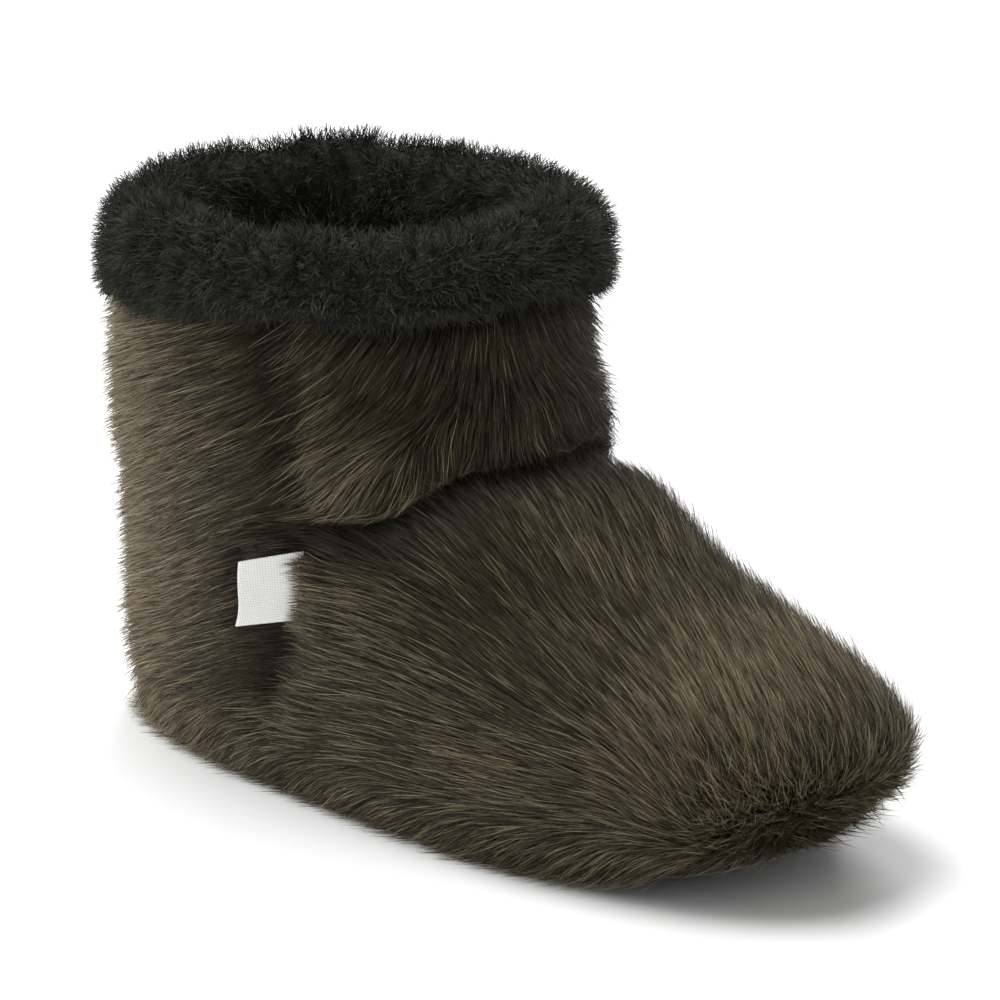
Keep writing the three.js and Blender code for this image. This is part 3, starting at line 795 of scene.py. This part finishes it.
STRIP_FIRST = -0.16
STRIP_LAST = 0.58
STRIP_FOOT_Z = 1.6
STRIP_LOW = 3.0
STRIP_TOP = 16.5
STRIP_FACE = 1.6
STRIP_BACK = 3.0


def make_toe_strip():
    """The sole's suede, drawn up around the toe."""
    w = np.linspace(STRIP_FIRST, STRIP_LAST, 90)
    risen = smoothstep(w, STRIP_FIRST, 0.05) * (1 - smoothstep(w, 0.4, STRIP_LAST))
    top = lerp(STRIP_LOW, STRIP_TOP, risen)
    z = lerp(STRIP_FOOT_Z, top[None], np.linspace(0, 1, 12)[:, None])
    face = under_coat(z, w, STRIP_FACE).reshape(*z.shape, 3)
    back = under_coat(z, w, STRIP_BACK).reshape(*z.shape, 3)
    rows = np.concatenate([face, back[::-1]])
    attach(grid_mesh("sole_toe_strip", rows, SUEDE, wrap_rows=True), "suede")


make_fur()
make_hide()
make_toe_strip()


# The cuff of wool. out is measured from the dense fur's face, rise from the wall's rim, or from the
# cuff's edge where edge is 1, and pad says how much of the thicker wool in front a station takes.
CUFF_SECTION = np.array([
    [3.2, 1.4, 1, 0],
    [5.4, 3, 0.8, 0],
    [6, 3, 0.5, 0],
    [5.8, 3, 0.22, 0],
    [4.8, 3.4, 0, 0],
    [2, 9, 0, 0.1],
    [-2.6, 13.2, 0, 0.4],
    [-8, 14.8, 0, 0.7],
    [-13.4, 13.2, 0, 1],
    [-18, 9, 0, 1],
    [-20.6, 3, 0, 1],
    [-21.4, -6, 0, 1],
    [-21, -15, 0, 0.8],
    [-19, -23, 0, 0.6],
    [-16, -28, 0, 0.3],
])
CUFF_BACK = np.array([
    [-9.5, -28, 0, 0],
    [-9.35, -14, 0, 0],
    [-9.35, 0.4, 0, 0],
    [-5.2, 0.4, 0, 0],
    [-5.2, 0.4, 0.5, 0],
    [-5.2, 0.7, 1, 0],
])
FRONT_PAD = 7.0
WOOL_DEPTH = 3.4


def cuff_points(section, w):
    """The cuff's points for rows of a section and columns."""
    out, rise, edge, pad = (column[:, None] for column in section.T)
    height = lerp(RIM_Z, cuff_edge(w)[None], edge) + rise
    thicker = pad * FRONT_PAD * (1 - smoothstep(np.abs(w), 0.2, 1.2))[None]
    start = np.minimum(height, RIM_Z)
    columns = np.broadcast_to(w, start.shape)
    points = level_point(start, columns, thicker - out)
    points[..., 2] += height - start
    return points


def refined(section, count):
    """A section's rows along a smooth curve through them."""
    numbered = np.column_stack([np.arange(len(section)), section])
    return read_table(numbered, np.linspace(0, len(section) - 1, count))[:, 1:]


CUFF_COLUMNS = np.linspace(-2, 2, 361)
CUFF = Coat(cuff_points(refined(CUFF_SECTION, 60), CUFF_COLUMNS))
WOOL_LUMPS = 1.3 * soft_noise(CUFF.area.shape, (6, 30)) + 0.9 * soft_noise(CUFF.area.shape, (14, 80))
CUFF = Coat(CUFF.points + CUFF.normal * WOOL_LUMPS[..., None])
CUFF_SPLIT = 0.48


def make_cuff_core():
    """The band under the wool."""
    depth = WOOL_DEPTH * np.sin(np.linspace(0, np.pi, len(CUFF.points))) ** 0.3
    face = (CUFF.points - CUFF.normal * depth[:, None, None])[:, ::2]
    back = cuff_points(CUFF_BACK, CUFF_COLUMNS[::2])
    rows = np.concatenate([face, back])[:, :-1]
    attach(grid_mesh("cuff_band", rows, WOOL_BASE, True, True), "wool", "cuff")


WOOL_CURL = 1.1
WOOL_TURNS = 3.4
TUFT_STRANDS = 16
TUFT_LENGTHS = (0.8, 1.1)
TUFT_PULL = (0.35, 0.75)
WOOL_LENGTHS = (0.65, 1.15)
WOOL_WIDER_SPREAD = 1.2
WOOL_SHADES = (0.5, 1.5)
WOOL_WIDTHS = (0.16, 0.28)
WOOL_FACING = 0.5
# from the root to the tip of a strand
WOOL_TINTS = np.array([
    [0.0055, 0.0056, 0.0045],
    [0.018, 0.0182, 0.0148],
    [0.037, 0.0375, 0.0315],
    [0.056, 0.057, 0.048],
])


def wool_lines(coat, r, c, length, spread, fall, root):
    """Centre lines of curly strands that stand off the coat."""
    count = len(r)
    normal = coat.at(coat.normal, r, c)
    way = unit(normal + RNG.normal(0, spread, (count, 3)) + np.array([0.0, 0.0, -fall]))
    aside = unit(np.cross(way, RNG.normal(0, 1, (count, 3))))
    third = np.cross(way, aside)
    start = coat.at(coat.points, r, c) - normal * root
    phase = RNG.uniform(0, 2 * np.pi, count)[:, None]
    lines = np.empty((count, len(WOOL_STATIONS), 3))
    for k, s in enumerate(WOOL_STATIONS):
        turn = phase + WOOL_TURNS * s
        bend = WOOL_CURL * s * (np.cos(turn) * aside + np.sin(turn) * third)
        lines[:, k] = start + way * (length * s)[:, None] + bend
    return lines


def grow_wool(name, coat, count, weight, length, spread, fall, slot, painted_shade_gain=1.0, root=WOOL_DEPTH):
    """Wool in small tufts, its colour scaled by a factor: over 1 lighter, under 1 as painted shade on the
    wool inside the cuff and the shoe. root says how deep under the coat it starts.
    """
    tufts = count // TUFT_STRANDS
    place = coat.scatter(tufts, weight)
    leaders = wool_lines(coat, *place, RNG.uniform(*TUFT_LENGTHS, tufts) * length, spread, fall, root)
    r, c = coat.scatter(count, weight)
    lengths = RNG.uniform(*WOOL_LENGTHS, count) * length
    lines = wool_lines(coat, r, c, lengths, spread * WOOL_WIDER_SPREAD, fall, root)
    lines = clump(lines, leaders, RNG.uniform(*TUFT_PULL, tufts), RNG.uniform(0.2, 1, count))
    facing = unit(coat.at(coat.normal, r, c) + RNG.normal(0, WOOL_FACING, (count, 3)))
    # painted shade where the colour is scaled under 1
    shade = painted_shade_gain * RNG.uniform(*WOOL_SHADES, count)
    tints = WOOL_TINTS[None] * shade[:, None, None]
    attach(ribbon_mesh(name, lines, facing, RNG.uniform(*WOOL_WIDTHS, count), tints, WOOL), slot)


def make_cuff():
    make_cuff_core()
    row = np.broadcast_to(np.linspace(0, 1, CUFF.area.shape[0])[:, None], CUFF.area.shape)
    outer = row < CUFF_SPLIT
    grow_wool("cuff_wool_outer", CUFF, 35000, outer, length=7.5, spread=0.55, fall=0.25, slot="wool")
    # the wool over the top and down the inside is darker, as painted shade towards the opening
    grow_wool(
        "cuff_wool_inner", CUFF, 20000, ~outer, length=7.0, spread=0.6, fall=0.1, slot="wool", painted_shade_gain=0.85)


make_cuff()


# The lining, the insole and the sole.

LINING_DEPTH = 9.2
LINING_HEIGHTS = np.linspace(20, 122, 40)
LINING_COLUMNS = np.linspace(2, -2, 181)


def make_lining():
    """Wool on the inside of the wall."""
    z, w = np.meshgrid(LINING_HEIGHTS, LINING_COLUMNS, indexing="ij")
    wall = Coat(last_point(z, column_angle(z, w)))
    # the columns run the other way, so the normal points in
    lining = Coat(wall.points + wall.normal * LINING_DEPTH)
    # slightly darker, as painted shade inside the shoe
    grow_wool(
        "lining_wool", lining, 8000, 1.0, length=5.5, spread=0.5, fall=0.2, slot="wool", painted_shade_gain=0.95, root=0.0)


def arch_at(points):
    """How far the arch lifts the sole's underside."""
    along = np.clip((points[..., 0] + MIDDLE_X - WAIST_X) / ARCH_REACH, -1, 1)
    return ARCH_LIFT * (0.5 + 0.5 * np.cos(along * np.pi)) * smoothstep(points[..., 1], -5, 40)


PLATE_COLUMNS = np.linspace(-2, 2, 193)


def plate_rings(stations, inset):
    """Rings around a plate's edge: their height above the ground, and how far each is drawn in."""
    w = PLATE_COLUMNS[:-1]
    rings = []
    for z, drawn, arch in stations:
        edge = level_point(np.full_like(w, WALL_FOOT_Z), w, np.full_like(w, inset + drawn))
        ring = placed(edge[:, 0] + MIDDLE_X, edge[:, 1], np.full_like(w, z))
        ring[:, 2] += arch * arch_at(ring)
        rings.append(ring)
    return np.array(rings)


def closed_plate(name, rings, across, material, bottom, top):
    """A plate from rings that rise around its edge, closed by two faces with their height and arch."""
    rows, count = rings.shape[:2]
    points = [rings.reshape(-1, 3)]
    faces = []
    for i in range(rows - 1):
        for j in range(count):
            k = (j + 1) % count
            faces.append([i * count + j, i * count + k, (i + 1) * count + k, (i + 1) * count + j])
    total = rows * count
    for first, (height, arch), order in ((0, bottom, -1), (total - count, top, 1)):
        inside, stations = face_stations(points[0], first, count, across, height, arch, total)
        total += len(inside)
        points.append(inside)
        ends = (first, first + count // 2)
        faces += [face[::order] for face in face_strips(stations, ends)]
    return quad_mesh(name, np.concatenate(points), faces, material)


def face_stations(edge, first, count, across, height, arch, total):
    """New points across a face, and the numbers of the points on each line from side to side."""
    middle = count // 2
    outer = first + np.arange(1, middle)
    inner = first + np.arange(count - 1, middle, -1)
    t = np.linspace(0, 1, across + 1)[1:-1]
    between = lerp(edge[outer][:, None], edge[inner][:, None], t[None, :, None])
    inside = placed(between[..., 0] + MIDDLE_X, between[..., 1], np.full(between.shape[:2], height))
    inside[..., 2] += arch * arch_at(inside)
    ids = total + np.arange(inside.shape[0] * inside.shape[1]).reshape(inside.shape[:2])
    return inside.reshape(-1, 3), np.column_stack([outer, ids, inner])


def face_strips(stations, ends):
    """Quads between the lines across a face, and triangles at its heel and toe."""
    across = stations.shape[1] - 1
    strips = []
    for low, high in zip(stations[:-1], stations[1:]):
        for a in range(across):
            strips.append([low[a], high[a], high[a + 1], low[a + 1]])
    for a in range(across):
        strips.append([ends[0], stations[0, a], stations[0, a + 1]])
        strips.append([stations[-1, a + 1], stations[-1, a], ends[1]])
    return strips


# height, how far the ring is drawn in, and its share of the arch
SOLE_STATIONS = (
    (0.0, 4.2, 1),
    (0.0, 3.2, 1),
    (0.25, 2.2, 1),
    (0.8, 1.2, 1),
    (1.6, 0.55, 0.8),
    (2.6, 0.2, 0.6),
    (4.0, 0.0, 0.4),
    (5.4, 0.0, 0.2),
    (6.8, 0.15, 0.1),
    (7.6, 0.4, 0),
    (SOLE_THICK, 1.0, 0),
)
INSOLE_TOP = WALL_FOOT_Z + INSOLE_THICK
INSOLE_STATIONS = (
    (WALL_FOOT_Z, 1.6, 0),
    (WALL_FOOT_Z + 1.2, 0.5, 0),
    (WALL_FOOT_Z + 3.4, 0.5, 0),
    (WALL_FOOT_Z + 4.6, 1.1, 0),
    (INSOLE_TOP, 2.4, 0),
)
SOLE_ACROSS = 14
INSOLE_ACROSS = 10
PILE_ROWS = 24


def make_outsole():
    rings = plate_rings(SOLE_STATIONS, FUR_OVERHANG)
    sole = closed_plate("sole_suede", rings, SOLE_ACROSS, SUEDE, bottom=(0.0, 1), top=(SOLE_THICK, 0))
    attach(sole, "suede", "outsole")


def make_insole():
    """The insole with wool pile on its top face."""
    rings = plate_rings(INSOLE_STATIONS, FUR_WALL)
    insole = closed_plate(
        "insole_base", rings, INSOLE_ACROSS, WOOL_BASE, bottom=(WALL_FOOT_Z, 0), top=(INSOLE_TOP, 0))
    attach(insole, "pile", "insole")
    half = len(rings[-1]) // 2
    outer = rings[-1][1:half]
    inner = rings[-1][:half:-1]
    across = np.linspace(0, 1, PILE_ROWS)[:, None, None]
    pile = Coat(lerp(inner[None], outer[None], across), ring=False)
    if pile.normal[10, 10, 2] < 0:
        pile = Coat(pile.points[::-1], ring=False)
    # slightly darker, as painted shade inside the shoe
    grow_wool(
        "insole_pile", pile, 4000, 1.0, length=4.0, spread=0.6, fall=0.0, slot="pile", painted_shade_gain=0.95, root=0.0)


make_lining()
make_outsole()
make_insole()


# The woven tab in the outer seam.

LABEL_TILT = 4.5
LABEL_STAND = 5.0
LABEL_THICK = 1.1
LABEL_ROOT = -2.65
LABEL_CURL = 0.7
LABEL_STEPS = 26
LABEL_ROWS = 30
FOLD_START = 0.93
FOLD_REACH = 0.07
WEAVE_SCALE = 420
WEAVE_DISTORTION = 0.6


def label_material():
    """White tape with a fine plain weave."""
    material, tree, shader = new_material("label_weave", 0.8, 0.25, sheen=0.2)
    place = tree.nodes.new("ShaderNodeTexCoord")
    waves = []
    for turn in ("X", "Z"):
        wave = tree.nodes.new("ShaderNodeTexWave")
        wave.bands_direction = turn
        wave.inputs["Scale"].default_value = WEAVE_SCALE
        wave.inputs["Distortion"].default_value = WEAVE_DISTORTION
        tree.links.new(place.outputs["Object"], wave.inputs["Vector"])
        waves.append(wave)
    weave = tree.nodes.new("ShaderNodeMath")
    weave.operation = "MULTIPLY"
    for k, wave in enumerate(waves):
        tree.links.new(wave.outputs["Fac"], weave.inputs[k])
    ramp = tree.nodes.new("ShaderNodeValToRGB")
    ramp.color_ramp.elements[0].color = (0.66, 0.655, 0.63, 1)
    ramp.color_ramp.elements[1].color = (0.86, 0.855, 0.84, 1)
    ramp.color_ramp.elements[1].position = 0.6
    tree.links.new(weave.outputs["Value"], ramp.inputs["Fac"])
    tree.links.new(ramp.outputs["Color"], shader.inputs["Base Color"])
    relief = tree.nodes.new("ShaderNodeBump")
    relief.inputs["Strength"].default_value = 0.35
    relief.inputs["Distance"].default_value = 0.0004
    tree.links.new(weave.outputs["Value"], relief.inputs["Height"])
    tree.links.new(relief.outputs["Normal"], shader.inputs["Normal"])
    return material


def make_label():
    """A folded tape: two leaves that meet in a round fold at the rear edge."""
    to_rear = np.concatenate([np.linspace(0, 1, LABEL_STEPS), np.linspace(1, 0, LABEL_STEPS)])
    leaf = np.concatenate([np.ones(LABEL_STEPS), np.zeros(LABEL_STEPS)])
    rise = np.linspace(-0.5, 0.5, LABEL_ROWS)
    rear, height = np.meshgrid(to_rear, rise)
    leaf = np.broadcast_to(leaf, rear.shape)
    z = LABEL_Z + LABEL_HEIGHT * height + LABEL_TILT * (0.5 - rear)
    angle = -angle_at_x(z, read_table(SEAM, z)[..., 1] - LABEL_WIDTH * rear)
    surface = last_point(z, angle)
    step = 0.5
    up = last_point(z + step, angle) - last_point(z - step, angle)
    around = last_point(z, angle + 0.02) - last_point(z, angle - 0.02)
    normal = unit(np.cross(around, up))
    round_off = np.sqrt(np.clip(1 - ((rear - FOLD_START) / FOLD_REACH).clip(0, 1) ** 2, 0, 1))
    curl = LABEL_CURL * np.sin(height * np.pi * 1.3 + 0.4) * rear**2
    offset = lerp(LABEL_ROOT, LABEL_STAND, rear) + LABEL_THICK * (0.5 + (leaf - 0.5) * round_off) + curl
    points = surface + normal * offset[..., None]
    attach(grid_mesh("label_tape", points, label_material()), "woven", "label")


make_label()


# Floor, light and camera.

CAMERA_PLACE = (1.2942, -1.2558, 0.6339)
CAMERA_TARGET = (0.0041, -0.0008, 0.0835)
CAMERA_LENS = 245.0


FLOOR_HALF = 6.0
FLOOR_TINTS = ((0.66, 0.66, 0.66), (0.68, 0.68, 0.68))
WORLD_LIGHT = 0.68
# name, place, target, size in metres, watts
LIGHTS = (
    ("light_top", (-0.3, -0.2, 1.6), (0, 0, 0.05), 1.1, 29),
    ("light_left", (-1.3, -1.0, 0.9), (0, 0, 0.08), 0.9, 14),
    ("light_back", (-0.9, 1.2, 0.8), (0, 0, 0.1), 0.8, 26),
)


def make_floor():
    h = FLOOR_HALF
    mesh = bpy.data.meshes.new("floor")
    mesh.from_pydata([(-h, -h, 0), (h, -h, 0), (h, h, 0), (-h, h, 0)], [], [(0, 1, 2, 3)])
    mesh.materials.append(mottled_material("floor_white", *FLOOR_TINTS, scale=3, roughness=0.9, bump=0.0))
    floor = bpy.data.objects.new("floor", mesh)
    bpy.context.scene.collection.objects.link(floor)


def aim(obj, place, target):
    """Adds a light or camera to the scene, pointed at its target."""
    way = Vector(target) - Vector(place)
    obj.matrix_world = Matrix.Translation(place) @ way.to_track_quat("-Z", "Y").to_matrix().to_4x4()
    bpy.context.scene.collection.objects.link(obj)


def make_light():
    scene = bpy.context.scene
    scene.view_settings.view_transform = "Standard"
    world = bpy.data.worlds.new("studio")
    world.use_nodes = True
    world.node_tree.nodes["Background"].inputs["Color"].default_value = (1, 1, 1, 1)
    world.node_tree.nodes["Background"].inputs["Strength"].default_value = WORLD_LIGHT
    scene.world = world
    for name, place, target, size, watts in LIGHTS:
        data = bpy.data.lights.new(name, "AREA")
        data.shape = "DISK"
        data.size = size
        data.energy = watts
        aim(bpy.data.objects.new(name, data), place, target)


def make_camera():
    data = bpy.data.cameras.new("camera")
    data.lens = CAMERA_LENS
    data.sensor_width = 36
    data.clip_end = 30
    camera = bpy.data.objects.new("camera", data)
    aim(camera, CAMERA_PLACE, CAMERA_TARGET)
    bpy.context.scene.camera = camera


make_floor()
make_light()
make_camera()
